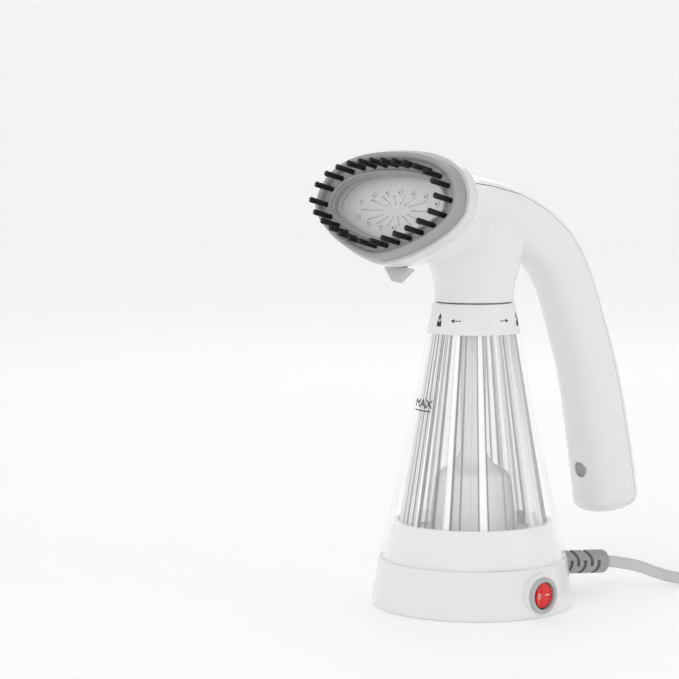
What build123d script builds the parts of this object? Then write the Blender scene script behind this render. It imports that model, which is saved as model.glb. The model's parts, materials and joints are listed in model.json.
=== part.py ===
from build123d import *
import math
import os

# A handheld garment steamer, in millimetres. +Z is up and the origin is the centre of the base's
# flat underside. The nozzle points along -X, the handle hangs on the +X side, and the switch
# faces -Y. The head is drawn locked onto the tank, the brush clipped on and the switch on.

# ---- base and tank ----
BASE_FOOT_R = 66.4
BASE_TOP_R = 61.8
BASE_TOP_Z = 31.8
WALL = 2.4
TANK_TOP_Z = 179.4
TANK_WALL = 2.2
TANK_OUTER = [(61.8, BASE_TOP_Z), (54.6, 61.6), (45.4, 102), (37.2, 141.3), (30.5, TANK_TOP_Z)]
SEAT_TOP_Z = 56.0
SEAT_TOP_R = 52.0
SEAT_FOOT_R = 59.2
FLOOR_Z = 46.5
FLUTES = 48
FLUTE_DEPTH = 1.3
SLEEVE_FOOT_R = 48.6
SLEEVE_TOP_R = 27.7
SLEEVE_WALL = 3.0
CUP_R = 24.0
PIPE_R = 8.3
PIPE_TOP_Z = 192.0
DOME_OUTER = [(27.9, 52.6), (27.2, 65.2), (25.8, 76), (22.6, 87.2), (14.5, 92.4), (9.4, 99), (PIPE_R, 108)]

# ---- quick-turn thread between collar and head ----
COLLAR_TOP_Z = 199.0
COLLAR_BORE_R = 23.3
TWIST_DEG = 120
THREAD_LIFT = 6.0
LUG_DEG = 22
LUG_Z = 187.2
LUG_H = 3.0
LEDGE_H = 2.5
THREAD_GAP = 0.4
SKIRT_R = 20.3

# ---- head ----
NECK_R = 26.0
NECK_Z = 199.4
NOZZLE_X = -79.4
NOZZLE_Z = 263.2
NOZZLE_TILT = 14.5
NOZZLE_HALF_WIDTH = 67.8
NOZZLE_TOP = (35.5, 2.44)  # height above the middle, and how full its corners are
NOZZLE_LOW = (33.7, 1.5)
OUTLINE_POINTS = 40
HOUSING_RIM = 2.4
BRUSH_DEPTH = 8.6
BRUSH_FLOOR = 4.0
RIM_BACK = 16.0
BRISTLES = 26
BRISTLE_INSET = 8.4
BRISTLE_LENGTH = 14.8
BRISTLE_D = 3.0
PLATE_INSET = 13.4
PLATE_FRONT = -13.0
VENTS = 14
VENT_OVAL = (40.0, 11.5)
VENT_R = 0.8
VENT_BOSS_R = 2.1
CHAMBER_BACK = 30.0
DUCT_R = 7.5
LEVER_PIVOT = (-28.8, -24.5)  # in the nozzle's frame: up, out
LEVER_PIN_R = 1.45
NECK_HALF = 4.8
TAB_TOP = -34.9
TAB_TIP = -44.0
TAB_HALF = 12.6
TAB_TIP_HALF = 2.6
TAB_THICKNESS = 4.4
HORN_WAIST = (59.0, 33.5)
HORN_WAIST_RISE = 1.5
SLOT_GAP = 0.8
HANDLE_LINE = [  # x, z and radius along the grip's middle
    (-34, 260, 23.5), (-8, 258.5, 22.5), (20, 254.5, 21.5), (45, 245.5, 20.8), (67, 231.5, 20.2),
    (83, 209, 19.9), (94.5, 181, 20.2), (104.5, 154, 20.7), (112, 126, 21.3),
    (118, 98, 21.9), (123, 72, 22.3), (126.3, 52.5, 22.3),
]
COVER_LINE = [  # where the handle's outer cover meets its inner shell
    (-75, 281), (0, 275), (30, 269), (52, 258.5), (72, 243), (88.5, 222), (98, 198), (108, 169),
    (119, 134), (126, 99), (131.5, 72), (138, 36),
]

# ---- switch, gland and cord ----
SWITCH_Z = 14.8
SWITCH_FACE = 65.6
BEZEL_R = 11.6
ROCKER_R = 8.5
ROCKER_TILT = 11
GLAND_TURN = -15
GLAND_DROOP = 3
GLAND_Z = 22.4
GLAND_NECK_R = 5.6
RELIEF_R = 7.9
RELIEF_LENGTH = 39.0
RELIEF_SLOTS = 5
RELIEF_FIRST_SLOT = 9.8
RELIEF_PITCH = 5.3
SLOT_BEND = 12.0
SLOT_WIDTH = 2.4
CORD_R = 4.0
CORD_SAG = 2.0
COIL_R = 42.0
COIL_X = 228.0
COIL_Y = -54.0
TIE_TURN = 60.0
TIE_WIDTH = 8.0
TAIL_TURN = 120.0
DUCT_BEND = 16.0

parts = {}


def turned(points):
    """A solid of revolution about Z from a closed outline of (radius, height) points."""
    outline = Plane.XZ * make_face(Polyline(*points, close=True))
    return revolve(outline, Axis.Z)


def ring(outer, inner, low, high):
    return turned([(inner, low), (outer, low), (outer, high), (inner, high)])


def disc(radius, low, high):
    return Pos(0, 0, low) * extrude(Circle(radius), high - low)


def curved_wall(outer, thickness):
    """A turned wall whose outside is a smooth curve through (radius, height) points."""
    inner = [(r - thickness, z) for r, z in outer]
    outline = Curve() + Spline(*outer) + Line(outer[-1], inner[-1])
    outline += Spline(*reversed(inner)) + Line(inner[0], outer[0])
    return revolve(Plane.XZ * make_face(outline), Axis.Z)


def sector(outer, inner, start, end, low, high):
    """Part of a ring between two angles in degrees, less than half a turn apart."""
    far = outer * 2
    a, b = math.radians(start), math.radians(end)
    corners = [(0, 0), (far * math.cos(a), far * math.sin(a)), (far * math.cos(b), far * math.sin(b))]
    wedge = Pos(0, 0, low) * extrude(make_face(Polyline(*corners, close=True)), high - low)
    return wedge & ring(outer, inner, low, high)


def ramp(outer, inner, start, end, low, height):
    """A short ledge that climbs with the thread; low is its underside at the angle 0."""
    slope = THREAD_LIFT / TWIST_DEG
    middle = (start + end) / 2
    radius = (outer + inner) / 2
    tilt = math.degrees(math.atan(slope * 180 / math.pi / radius))
    block = Box(4 * outer, 4 * outer, height, align=(Align.CENTER, Align.CENTER, Align.MIN))
    lean = Rot(0, 0, middle) * Rot(tilt, 0, 0) * block
    lean = Pos(0, 0, low + slope * middle) * lean
    return lean & sector(outer, inner, start, end, low - 20, low + 30)


def around(shape, count, radius, first=0.0):
    """Copies of a shape on a circle about Z, each moved out by radius."""
    return [Rot(0, 0, first + 360 * i / count) * Pos(radius, 0, 0) * shape for i in range(count)]


def nozzle_outline(shrink=0.0):
    """The nozzle's face, drawn smaller by shrink: full at its upper corners, tapering below."""
    points = []
    for i in range(OUTLINE_POINTS):
        turn = 2 * math.pi * i / OUTLINE_POINTS
        across, up = math.cos(turn), math.sin(turn)
        half, fullness = NOZZLE_TOP if up > 0 else NOZZLE_LOW
        x = (NOZZLE_HALF_WIDTH - shrink) * abs(across) ** (2 / fullness)
        y = (half - shrink) * abs(up) ** (2 / fullness)
        points.append((math.copysign(x, across), math.copysign(y, up)))
    return Spline(*points, periodic=True)


def nozzle_block(shrink, low, high):
    """A slab with the nozzle's outline, in the nozzle's own frame, where z points out of it."""
    return Pos(0, 0, low) * extrude(make_face(nozzle_outline(shrink)), high - low)


def oval_block(size, low, high):
    """An oval slab in the nozzle's own frame, where z points out of the nozzle."""
    return Pos(0, 0, low) * extrude(Ellipse(*size), high - low)


def tube(points, radii, radius):
    """A round tube along straight runs joined by tangent arcs."""
    path = FilletPolyline(*points, radius=radii)
    section = Plane(origin=path @ 0, z_dir=path % 0) * Circle(radius)
    return sweep(section, path=path), path


# ---------------------------------------------------------------- base


def base_parts():
    shell = turned([
        (0, 0.0), (63.2, 0.0), (65.2, 0.9), (66.2, 2.6), (BASE_FOOT_R, 5.0), (65.4, 11.5),
        (63.7, 20.0), (62.3, 28.0), (BASE_TOP_R, BASE_TOP_Z - 0.6), (BASE_TOP_R - 0.6, BASE_TOP_Z),
        (0, BASE_TOP_Z),
    ])
    envelope = shell
    hollow = turned([
        (0, -1), (61.5, -1), (61.5, 3), (63.8, 5), (62.9, 11.5), (61.2, 20), (59.8, BASE_TOP_Z - WALL),
        (0, BASE_TOP_Z - WALL),
    ])
    deck_hole = disc(30, 0, 40)
    post = Pos(0, 0, 3.2) * extrude(Circle(4), BASE_TOP_Z - WALL - 3.2)
    pilot = Pos(0, 0, 3.0) * extrude(Circle(1.3), 12)
    boss = Pos(0, -60.0, SWITCH_Z) * Rot(90, 0, 0) * extrude(Circle(14.2), SWITCH_FACE - 60.0)
    spot_face = Pos(0, -SWITCH_FACE, SWITCH_Z) * Rot(90, 0, 0) * extrude(Circle(14.2), 20)
    switch_hole = Pos(0, -50, SWITCH_Z) * Rot(90, 0, 0) * extrude(Circle(10.0), 20)
    shell = shell + boss - spot_face - hollow - deck_hole
    for one in around(post, 4, 48, 45):
        shell += one
    for one in around(pilot, 4, 48, 45):
        shell -= one
    gland_pad = gland_frame() * (Pos(0, 0, -5.3) * extrude(Circle(RELIEF_R + 2.6), 12))
    gland_recess = gland_frame() * (Pos(0, 0, 0.2) * extrude(Circle(RELIEF_R + 0.2), 10))
    gland_hole = gland_frame() * (Pos(0, 0, -12) * extrude(Circle(GLAND_NECK_R + 0.1), 20))
    shell = shell + (gland_pad & envelope) - gland_recess - gland_hole - switch_hole
    parts["base_housing"] = shell

    cover = disc(61.2, 0, 2.8)
    screw_hole = Pos(0, 0, -1) * extrude(Circle(1.8), 6)
    head_recess = Pos(0, 0, -1) * extrude(Circle(3.4), 2.4)
    pad_recess = Pos(0, 0, -1) * extrude(Circle(6.5), 2.0)
    for one in around(screw_hole, 4, 48, 45) + around(head_recess, 4, 48, 45) + around(pad_recess, 4, 50, 0):
        cover -= one
    parts["base_bottom_cover"] = cover
    parts["rubber_feet"] = Compound(around(extrude(Circle(6.4), 1.0), 4, 50, 0))
    screw = Pos(0, 0, 0.2) * extrude(Circle(3.2), 1.2) + Pos(0, 0, 1.4) * extrude(Circle(1.3), 12)
    parts["base_screws"] = Compound(around(screw, 4, 48, 45))


def gland_frame():
    """Where the cord leaves the base: z points out along the strain relief."""
    turn = math.radians(GLAND_TURN)
    droop = math.radians(GLAND_DROOP)
    out = Vector(math.cos(turn) * math.cos(droop), math.sin(turn) * math.cos(droop), -math.sin(droop))
    foot = Vector(math.cos(turn) * 62.6, math.sin(turn) * 62.6, GLAND_Z)
    return Location(Plane(origin=foot, x_dir=(-math.sin(turn), math.cos(turn), 0), z_dir=out))


def gland_parts():
    place = gland_frame()
    body = Pos(0, 0, 0.3) * extrude(Circle(RELIEF_R), RELIEF_LENGTH - 0.3)
    body = fillet(body.edges().group_by(Axis.Z)[-1], 3.2)
    flange = Pos(0, 0, -7.5) * extrude(Circle(6.4), 2.0)
    neck = Pos(0, 0, -5.6) * extrude(Circle(GLAND_NECK_R), 6.6)
    relief = flange + neck + body
    arc = Rot(0, 90, 0) * (Cylinder(SLOT_BEND, 30) - Cylinder(SLOT_BEND - SLOT_WIDTH, 30))
    arc &= Pos(0, 0, SLOT_BEND / 2) * Box(30, 30, SLOT_BEND)
    for i in range(RELIEF_SLOTS):
        side = 1 if i % 2 else -1
        slot = arc & (Pos(0, side * 7.5, 0) * Box(30, 19, 30))
        relief -= Pos(0, 0, RELIEF_FIRST_SLOT + i * RELIEF_PITCH - SLOT_BEND) * slot
    relief -= Pos(0, 0, -8) * extrude(Circle(CORD_R), RELIEF_LENGTH + 12)
    parts["strain_relief"] = place * relief
    parts["cord_in_gland"] = place * (Pos(0, 0, -20) * extrude(Circle(CORD_R), 20 + RELIEF_LENGTH))
    saddle = Pos(0, CORD_R + 0.4, -16) * Box(9, 0.8, 7)
    saddle += Pos(0, -CORD_R - 1.0, -16) * Box(9, 2, 7)
    parts["cord_clamp"] = place * saddle
    screw = Pos(0, -CORD_R - 3.4, -16) * Rot(90, 0, 0) * Cylinder(1.6, 2.8)
    parts["cord_clamp_screw"] = place * screw


def switch_parts():
    face = Pos(0, -SWITCH_FACE, SWITCH_Z) * Rot(90, 0, 0)
    bezel = extrude(Circle(BEZEL_R), 1.8) + Pos(0, 0, -13) * extrude(Circle(9.8), 13)
    bezel = fillet(bezel.edges().group_by(Axis.Z)[-1], 0.7)
    bezel -= Pos(0, 0, -8.5) * extrude(Circle(ROCKER_R + 0.35), 12)
    parts["switch_bezel"] = face * bezel
    block = Pos(0, 0, -27) * Box(17, 15, 14, align=(Align.CENTER, Align.CENTER, Align.MIN))
    blades = Compound([Pos(x, 0, -34) * Box(0.8, 6.3, 7, align=(Align.CENTER, Align.CENTER, Align.MIN))
                       for x in (-5, 0, 5)])
    parts["switch_body"] = face * block
    parts["switch_terminals"] = face * blades
    # the rocker's two faces meet in a shallow V; it is drawn pressed on its +X side
    profile = make_face(Polyline((-8.3, -5.0), (8.3, -5.0), (8.3, 1.4), (0, -0.3), (-8.3, 1.4), close=True))
    bar = Pos(0, 8.5, 0) * Rot(90, 0, 0) * extrude(profile, 17)
    rocker = bar & (Pos(0, 0, -8) * extrude(Circle(ROCKER_R - 0.45), 16))
    parts["rocker"] = Pos(0, -SWITCH_FACE, SWITCH_Z) * Rot(0, 0, ROCKER_TILT) * Rot(90, 0, 0) * rocker


def heater_parts():
    cup = turned([(0, 33), (CUP_R, 33), (CUP_R, 45), (26.3, 45), (26.3, FLOOR_Z), (0, FLOOR_Z)])
    cup -= ring(19.5, 4, 36, 50)
    parts["heater_plate"] = cup
    coil = Pos(0, 0, 29.6) * Torus(16, 3.2)
    parts["heating_element"] = coil
    parts["heater_gasket"] = ring(29.0, 26.5, FLOOR_Z - 1.5, FLOOR_Z)
    thermostat = disc(8, 24, 31) + disc(6, 31, 33)
    parts["thermostat"] = thermostat
    fuse = Pos(0, 24.5, 20) * Rot(0, 90, 0) * Cylinder(2.2, 14)
    parts["thermal_fuse"] = fuse


def tank_parts():
    seat = turned([
        (SEAT_FOOT_R, BASE_TOP_Z), (SEAT_TOP_R, SEAT_TOP_Z), (49.2, SEAT_TOP_Z), (49.2, FLOOR_Z),
        (29.2, FLOOR_Z), (29.2, FLOOR_Z - WALL), (49.2, FLOOR_Z - WALL), (55.8, BASE_TOP_Z),
    ])
    parts["tank_seat"] = seat
    parts["tank_o_ring"] = ring(48.6, 46.2, FLOOR_Z, FLOOR_Z + 1.8)
    parts["tank_outer_wall"] = curved_wall(TANK_OUTER, TANK_WALL)

    def star(radius):
        points = []
        for i in range(4 * FLUTES):
            angle = 2 * math.pi * i / (4 * FLUTES)
            r = radius - (FLUTE_DEPTH if i % 4 > 1 else 0.0)
            points.append((r * math.cos(angle), r * math.sin(angle)))
        return make_face(Polyline(*points, close=True))

    low, high = SEAT_TOP_Z, TANK_TOP_Z - 0.4
    fluted = loft([Pos(0, 0, low) * star(SLEEVE_FOOT_R), Pos(0, 0, high) * star(SLEEVE_TOP_R)], ruled=True)
    bore = turned([
        (0, low - 1), (SLEEVE_FOOT_R - SLEEVE_WALL + 0.2, low - 1),
        (SLEEVE_TOP_R - SLEEVE_WALL, high + 0.1), (0, high + 0.1),
    ])
    foot = ring(SLEEVE_FOOT_R, SLEEVE_FOOT_R - SLEEVE_WALL, FLOOR_Z + 1.8, low)
    parts["tank_fluted_sleeve"] = (fluted - bore) + foot

    dome_inner = [(r - 1.8, z - 0.6) for r, z in DOME_OUTER]
    outline = Curve() + Line((29.0, FLOOR_Z), (29.0, FLOOR_Z + 2)) + Line((29.0, FLOOR_Z + 2), DOME_OUTER[0])
    outline += Spline(*DOME_OUTER) + Line(DOME_OUTER[-1], (PIPE_R, PIPE_TOP_Z))
    outline += Line((PIPE_R, PIPE_TOP_Z), (PIPE_R - 1.8, PIPE_TOP_Z))
    outline += Line((PIPE_R - 1.8, PIPE_TOP_Z), dome_inner[-1]) + Spline(*reversed(dome_inner))
    outline += Line(dome_inner[0], (26.6, FLOOR_Z)) + Line((26.6, FLOOR_Z), (29.0, FLOOR_Z))
    dome = revolve(Plane.XZ * make_face(outline), Axis.Z)
    for one in around(Pos(0, 0, FLOOR_Z - 1) * Box(6, 5, 5, align=(Align.CENTER, Align.CENTER, Align.MIN)), 6, 28):
        dome -= one
    parts["steam_dome"] = dome


def collar_parts():
    collar = turned([
        (30.6, TANK_TOP_Z), (26.9, COLLAR_TOP_Z - 0.5), (26.4, COLLAR_TOP_Z), (COLLAR_BORE_R, COLLAR_TOP_Z),
        (COLLAR_BORE_R, TANK_TOP_Z),
    ])
    outer = COLLAR_BORE_R + 0.6
    inner = SKIRT_R + THREAD_GAP
    underside = LUG_Z + LUG_H + THREAD_GAP
    ledge_end = TWIST_DEG - LUG_DEG / 2 - 2
    step = (ledge_end + LUG_DEG / 2) / 3
    for start in (180, 360):
        for i in range(3):
            first = -LUG_DEG / 2 + i * step
            collar += Rot(0, 0, start) * ramp(outer, inner, first, first + step, underside, LEDGE_H)
        for stop in (-LUG_DEG / 2 - 7, TWIST_DEG + LUG_DEG / 2 + 2):
            rib = sector(outer, inner, stop, stop + 5, TANK_TOP_Z + 1, COLLAR_TOP_Z - 2)
            collar += Rot(0, 0, start) * rib
    parts["neck_collar"] = collar
    parts["pipe_gasket"] = ring(11.5, PIPE_R + 0.05, PIPE_TOP_Z - 5.5, PIPE_TOP_Z - 0.5)


# ---------------------------------------------------------------- head


def nozzle_frame():
    tilt = math.radians(NOZZLE_TILT)
    out = (-math.cos(tilt), 0, math.sin(tilt))
    return Location(Plane(origin=(NOZZLE_X, 0, NOZZLE_Z), x_dir=(0, -1, 0), z_dir=out))


def handle_tube(shrink, cut=0):
    sections = []
    line = HANDLE_LINE[: len(HANDLE_LINE) - cut]
    for i, (x, z, r) in enumerate(line):
        x0, z0, _ = line[max(i - 1, 0)]
        x1, z1, _ = line[min(i + 1, len(line) - 1)]
        sections.append(Plane(origin=(x, 0, z), x_dir=(0, 1, 0), z_dir=(x1 - x0, 0, z1 - z0)) * Circle(r - shrink))
    return loft(sections)


def head_blank(shrink):
    """Horn, neck and handle as one lump, drawn smaller by shrink for the hollow inside."""
    front = nozzle_frame() * (Pos(0, 0, -RIM_BACK) * make_face(nozzle_outline(shrink - HOUSING_RIM)))
    waist = Ellipse(HORN_WAIST[0] - shrink, HORN_WAIST[1] - shrink)
    middle = nozzle_frame() * (Pos(0, HORN_WAIST_RISE, -RIM_BACK - 14) * waist)
    back = Plane(origin=(-12, 0, 257.5), x_dir=(0, -1, 0), z_dir=(-1, 0, 0.05)) * Ellipse(29 - shrink, 26 - shrink)
    rear = Plane(origin=(16, 0, 255.0), x_dir=(0, -1, 0), z_dir=(-1, 0, 0.12)) * Ellipse(21 - shrink, 21 - shrink)
    horn = loft([front, middle, back, rear])
    low = NECK_Z
    neck = loft([
        Pos(0, 0, low) * Circle(NECK_R - shrink),
        Pos(0.5, 0, 217) * Circle(28.0 - shrink),
        Pos(-1, 0, 236) * Ellipse(36.0 - shrink, 30.0 - shrink),
        Pos(-6, 0, 256) * Ellipse(38.0 - shrink, 24.0 - shrink),
    ])
    return horn, neck, handle_tube(shrink)


def head_parts():
    horn, neck, tube_solid = head_blank(0)
    horn_in, neck_in, tube_in = head_blank(WALL)
    end = tube_solid.faces().sort_by(Axis.Z)[0].edges()
    tube_solid = fillet(end, 8)
    lump = horn + neck + tube_solid
    end_x, end_z, _ = HANDLE_LINE[-1]
    lid = Plane(origin=(end_x, 0, end_z), z_dir=(3.3, 0, -19.5)) * Pos(0, 0, -WALL) * Box(
        70, 70, 20, align=(Align.CENTER, Align.CENTER, Align.MIN))
    hollow = horn_in + neck_in + (tube_in - lid)
    shell = lump - hollow
    cover_side = make_face(Polyline(*COVER_LINE, (220, 36), (220, 330), (-75, 330), close=True))
    cover_side = Plane.XZ * cover_side
    cover_side = extrude(cover_side, 100, both=True)
    parts["handle_outer_cover"] = shell & cover_side
    inner = shell - cover_side
    # screw plug on the side of the grip that faces the tank
    x, z = 99.8, 79.6
    bore_frame = Plane(origin=(x, 0, z), z_dir=(-0.98, 0, -0.2))
    inner -= Location(bore_frame) * Pos(0, 0, -4) * extrude(Circle(5.2), 14)
    slot = Pos(0, -35, LEVER_PIVOT[1] - 0.3) * Box(2 * (NECK_HALF + SLOT_GAP), 14, 8.8)
    parts["head_shell"] = inner - nozzle_frame() * slot
    parts["grip_screw_plug"] = Location(bore_frame) * Pos(0, 0, -4) * extrude(Circle(5.1), 2.5)
    return lump


def nozzle_parts():
    place = nozzle_frame()
    bezel = nozzle_block(-HOUSING_RIM, -RIM_BACK, -BRUSH_DEPTH - 0.4)
    bezel -= nozzle_block(PLATE_INSET - 0.3, -RIM_BACK - 1, 0)
    bezel -= Pos(0, -30.2, -12) * Box(2 * NECK_HALF + SLOT_GAP, 6.8, 20)
    parts["nozzle_bezel"] = place * bezel

    plate = nozzle_block(PLATE_INSET, PLATE_FRONT - 2.5, PLATE_FRONT)
    for i in range(VENTS):
        angle = oval_angle(*VENT_OVAL, (i + 0.5) / VENTS)
        spot = Pos(VENT_OVAL[0] * math.cos(angle), VENT_OVAL[1] * math.sin(angle), PLATE_FRONT)
        plate += spot * extrude(Circle(VENT_BOSS_R), 0.7)
        plate -= spot * Cylinder(VENT_R, 12)
    parts["steam_plate"] = place * plate
    chamber = oval_block((48, 16.5), -CHAMBER_BACK, -15.5) - oval_block((46, 14.5), -28, -15)
    chamber -= Pos(0, 0, -CHAMBER_BACK - 1) * extrude(Circle(DUCT_R - 2.0), 8)
    parts["steam_chamber"] = place * chamber

    frame = nozzle_block(0, -BRUSH_DEPTH, 0)
    frame = fillet(frame.edges().group_by(Axis.Z)[-1], 2.0)
    frame -= nozzle_block(4.6, -BRUSH_FLOOR, 1)
    frame += nozzle_block(PLATE_INSET - 1.2, -BRUSH_DEPTH, -1.8)
    frame -= nozzle_block(PLATE_INSET + 1.2, -BRUSH_DEPTH - 1, 1)
    parts["brush_frame"] = place * frame
    path = nozzle_outline(BRISTLE_INSET)
    tufts = []
    for i in range(BRISTLES):
        seat = path @ ((i + 0.5) / BRISTLES)
        tuft = Pos(seat.X, seat.Y, -BRUSH_FLOOR) * extrude(Circle(BRISTLE_D / 2), BRISTLE_LENGTH)
        tufts.append(place * tuft)
    parts["bristles"] = Compound(tufts)


def lever_parts():
    """The sprung tab under the nozzle, drawn in the nozzle's frame: y is up, z points out."""
    place = nozzle_frame()
    y, z = LEVER_PIVOT
    across = Pos(0, y, z) * Rot(0, 90, 0)
    outline = Polyline(
        (-TAB_HALF, TAB_TOP), (TAB_HALF, TAB_TOP), (TAB_TIP_HALF, TAB_TIP), (-TAB_TIP_HALF, TAB_TIP), close=True)
    tab = Pos(0, 0, z - TAB_THICKNESS / 2) * extrude(make_face(outline), TAB_THICKNESS)
    corners = tab.edges().filter_by(Axis.Z).sort_by(Axis.Y)
    tab = fillet(corners[:2], 2.4)
    neck = Pos(0, -33.2, z) * Box(2 * NECK_HALF, 6.0, 4.6)
    arm = Pos(0, y, -16.9) * Box(9.2, 3.0, 15.2)
    nub = Pos(0, y - 1.2, -10.4) * Box(9.2, 1.6, 2.4)
    lever = tab + neck + across * Cylinder(2.9, 9.6) + arm + nub
    lever -= across * Cylinder(LEVER_PIN_R + 0.05, 12)
    parts["release_lever"] = place * lever
    parts["lever_pin"] = place * (across * Cylinder(LEVER_PIN_R, 20.4))
    ears = Pos(0, y + 4.4, z + 1.4) * Box(20.4, 1.8, 8.0)
    for side in (-1, 1):
        ears += Pos(side * 9.2, y + 1.9, z + 0.4) * Box(2.0, 5.6, 4.4)
    ears -= across * Cylinder(LEVER_PIN_R, 30)
    parts["lever_bracket"] = place * ears
    spring = across * (Pos(0, 0, 6.5) * (Cylinder(2.1, 2.4) - Cylinder(1.6, 4)))
    parts["lever_spring"] = place * spring


def duct_parts():
    """The head's threaded skirt and the pipe that takes steam from the tank's pipe to the nozzle."""
    skirt = ring(SKIRT_R, SKIRT_R - 2.5, LUG_Z - 0.8, NECK_Z + 3)
    skirt += ring(NECK_R - WALL - 0.7, SKIRT_R - 2.5, NECK_Z, NECK_Z + 3)
    for start in (0, 180):
        lug = ramp(COLLAR_BORE_R - THREAD_GAP, SKIRT_R - 0.4, -LUG_DEG / 2, LUG_DEG / 2, LUG_Z, LUG_H)
        skirt += Rot(0, 0, start) * lug
    parts["head_lock_ring"] = skirt

    tilt = math.radians(NOZZLE_TILT)
    end_x = NOZZLE_X + CHAMBER_BACK * math.cos(tilt)
    end_z = NOZZLE_Z - CHAMBER_BACK * math.sin(tilt)
    corner_z = end_z - abs(end_x) * math.tan(tilt)
    points = [(0, 0, NECK_Z), (0, 0, corner_z), (end_x, 0, end_z)]
    outer, _ = tube(points, DUCT_BEND, DUCT_R)
    bore, _ = tube(points, DUCT_BEND, DUCT_R - 2.0)
    socket = disc(14.3, PIPE_TOP_Z - 5.2, NECK_Z + 1)
    duct = outer + socket - bore - disc(11.8, 180, PIPE_TOP_Z + 5.5) - disc(DUCT_R - 2.0, 190, NECK_Z + 4)
    parts["steam_duct"] = duct
    spokes = ring(SKIRT_R - 2.6, 14.4, NECK_Z - 2.4, NECK_Z + 0.4)
    for one in around(Box(20, 7, 20), 4, 22, 45):
        spokes -= Pos(0, 0, NECK_Z) * one
    parts["duct_holder"] = spokes


def cord_route():
    """The route's points in millimetres, from the strain relief's tip to the coil's lowest turn."""
    start = gland_frame() * Pos(0, 0, RELIEF_LENGTH)
    tip = start.position
    after = (start * Pos(0, 0, 22)).position
    return [
        (tip.X, tip.Y, tip.Z), (after.X, after.Y, after.Z - CORD_SAG), (140.5, -41.2, 7.2), (157, -53, 4.0),
        (171, -67.5, 4.0), (184, -82, 4.0),
    ]


def corner_radii(points):
    """The largest arc that each corner's two runs allow, 0.45 of the shorter run on each side."""
    radii = []
    for before, here, after in zip(points, points[1:], points[2:]):
        run_in = Vector(*here) - Vector(*before)
        run_out = Vector(*after) - Vector(*here)
        half_turn = math.radians(run_in.get_angle(run_out)) / 2
        radii.append(0.45 * min(run_in.length, run_out.length) / math.tan(half_turn))
    return radii


def cord_parts():
    points = cord_route()
    radii = corner_radii(points)
    lead, path = tube(points, radii, CORD_R)
    parts["power_cord"] = lead
    section = math.pi * CORD_R ** 2
    print("cord radii", [round(r, 1) for r in radii], "length", round(path.length, 1))
    print("cord volume over section times length", round(lead.volume / section / path.length, 4))

    at_coil = Pos(COIL_X, COIL_Y, 0)
    bundle = turned([
        (29.8, 0), (54.2, 0), (54.4, 5.5), (50.4, 13), (46.2, 20.4), (42, 22.6), (37.8, 20.4), (33.6, 13),
        (29.6, 5.5),
    ])
    strap_angle = Rot(0, 0, TIE_TURN)
    strap_mid = Pos(COIL_R, 0, 11.8)
    loop = Box(27.6, TIE_WIDTH, 23.6) - Box(25.4, 20, 21.4)
    loop = fillet(loop.edges().filter_by(Axis.Y), 0.6)
    strap = strap_angle * strap_mid * loop
    parts["cord_coil"] = at_coil * (bundle - strap_angle * strap_mid * Box(40, TIE_WIDTH + 0.2, 40))
    parts["cord_coil"] += at_coil * (bundle & (strap_angle * strap_mid * Box(25.2, TIE_WIDTH + 0.4, 21.2)))
    parts["cord_tie"] = at_coil * strap

    first = math.radians(TAIL_TURN)
    tail = []
    for turn, radius, z in ((0, 42, 18.2), (26, 42, 21.5), (52, 41.5, 27.2), (76, 41.5, 30.2)):
        angle = first + math.radians(turn)
        tail.append((COIL_X + radius * math.cos(angle), COIL_Y + radius * math.sin(angle), z))
    tail_radii = corner_radii(tail)
    tail_tube, tail_path = tube(tail, tail_radii, CORD_R)
    parts["cord_tail"] = tail_tube
    print("tail radii", [round(r, 1) for r in tail_radii], "length", round(tail_path.length, 1))
    out = tail_path % 1
    plug_frame = Location(Plane(origin=tail_path @ 1, x_dir=(-out.Y, out.X, 0), z_dir=(out.X, out.Y, 0)))
    body = Pos(0, 0, 10) * extrude(RectangleRounded(22, 14.6, 5.5), 26)
    sleeve = extrude(Circle(5.6), 10.5) - extrude(Circle(CORD_R), 4)
    parts["plug_body"] = plug_frame * (body + sleeve)
    blades = [Pos(side * 6.35, 0, 36) * Box(6.35, 1.5, 16, align=(Align.CENTER, Align.CENTER, Align.MIN))
              for side in (-1, 1)]
    parts["plug_blades"] = Compound([plug_frame * one for one in blades])


def wire_parts():
    """Insulated wires between the cord, the switch, the thermostat and the heating element."""
    routes = [
        [(39.6, -13.4, 24.6), (32, -17, 20), (14, -25, 15), (5.0, -31.1, SWITCH_Z)],
        [(-5.0, -31.1, SWITCH_Z), (-6.5, -24, 15), (-9, -15, 19), (-6, -10.2, 26.5)],
        [(39.6, -8.6, 24.6), (34, -6, 22), (24, -2, 21), (14.5, 0, 22), (9.4, 0, 27)],
    ]
    wires = []
    for route in routes:
        wire, _ = tube(route, 3.0, 1.1)
        wires.append(wire)
    parts["inner_wires"] = Compound(wires)


def oval_angle(a, b, share):
    """The parameter at a share of an ellipse's perimeter."""
    steps = 720
    lengths = [0.0]
    for i in range(steps):
        t0, t1 = 2 * math.pi * i / steps, 2 * math.pi * (i + 1) / steps
        d = math.hypot(a * (math.cos(t1) - math.cos(t0)), b * (math.sin(t1) - math.sin(t0)))
        lengths.append(lengths[-1] + d)
    want = share * lengths[-1]
    for i in range(steps):
        if lengths[i + 1] >= want:
            return 2 * math.pi * (i + (want - lengths[i]) / (lengths[i + 1] - lengths[i])) / steps
    return 0.0


def main():
    base_parts()
    gland_parts()
    switch_parts()
    heater_parts()
    tank_parts()
    collar_parts()
    head_parts()
    nozzle_parts()
    lever_parts()
    duct_parts()
    cord_parts()
    wire_parts()
    os.makedirs("parts", exist_ok=True)
    for name, shape in parts.items():
        export_step(shape, "parts/" + name + ".step")


main()
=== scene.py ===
import json
import math

import bmesh
import bpy
import numpy as np
from mathutils import Matrix, Vector


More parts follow.
